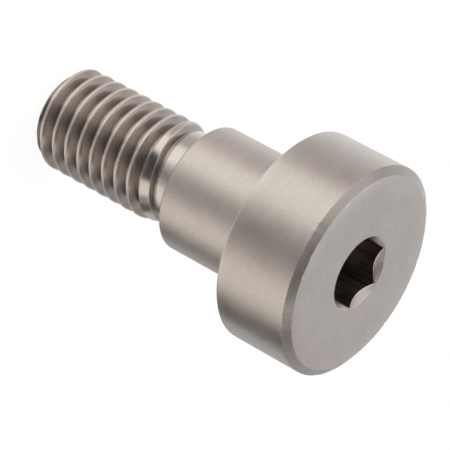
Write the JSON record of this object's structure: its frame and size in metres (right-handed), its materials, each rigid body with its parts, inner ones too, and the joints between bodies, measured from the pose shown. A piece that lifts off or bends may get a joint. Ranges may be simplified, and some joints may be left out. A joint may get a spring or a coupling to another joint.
{
  "type": "shoulder bolt",
  "caption": "Shoulder bolt with a wide low head, hexagon socket, ground cylindrical shoulder, short neck and coarse right-hand thread.",
  "frame": {"origin": "centre of the flat end of the thread, which the bolt stands on", "axes": "+Z along the bolt's axis, from the thread's end to the head; a corner of the hexagon socket points 28 degrees from +X towards +Y"},
  "size_m": [0.02, 0.02, 0.0344],
  "materials": {
    "steel": "bare turned steel, satin, slightly warm"
  },
  "bodies": {
    "root": {"shoulder_bolt": "steel"}
  },
  "joints": []
}
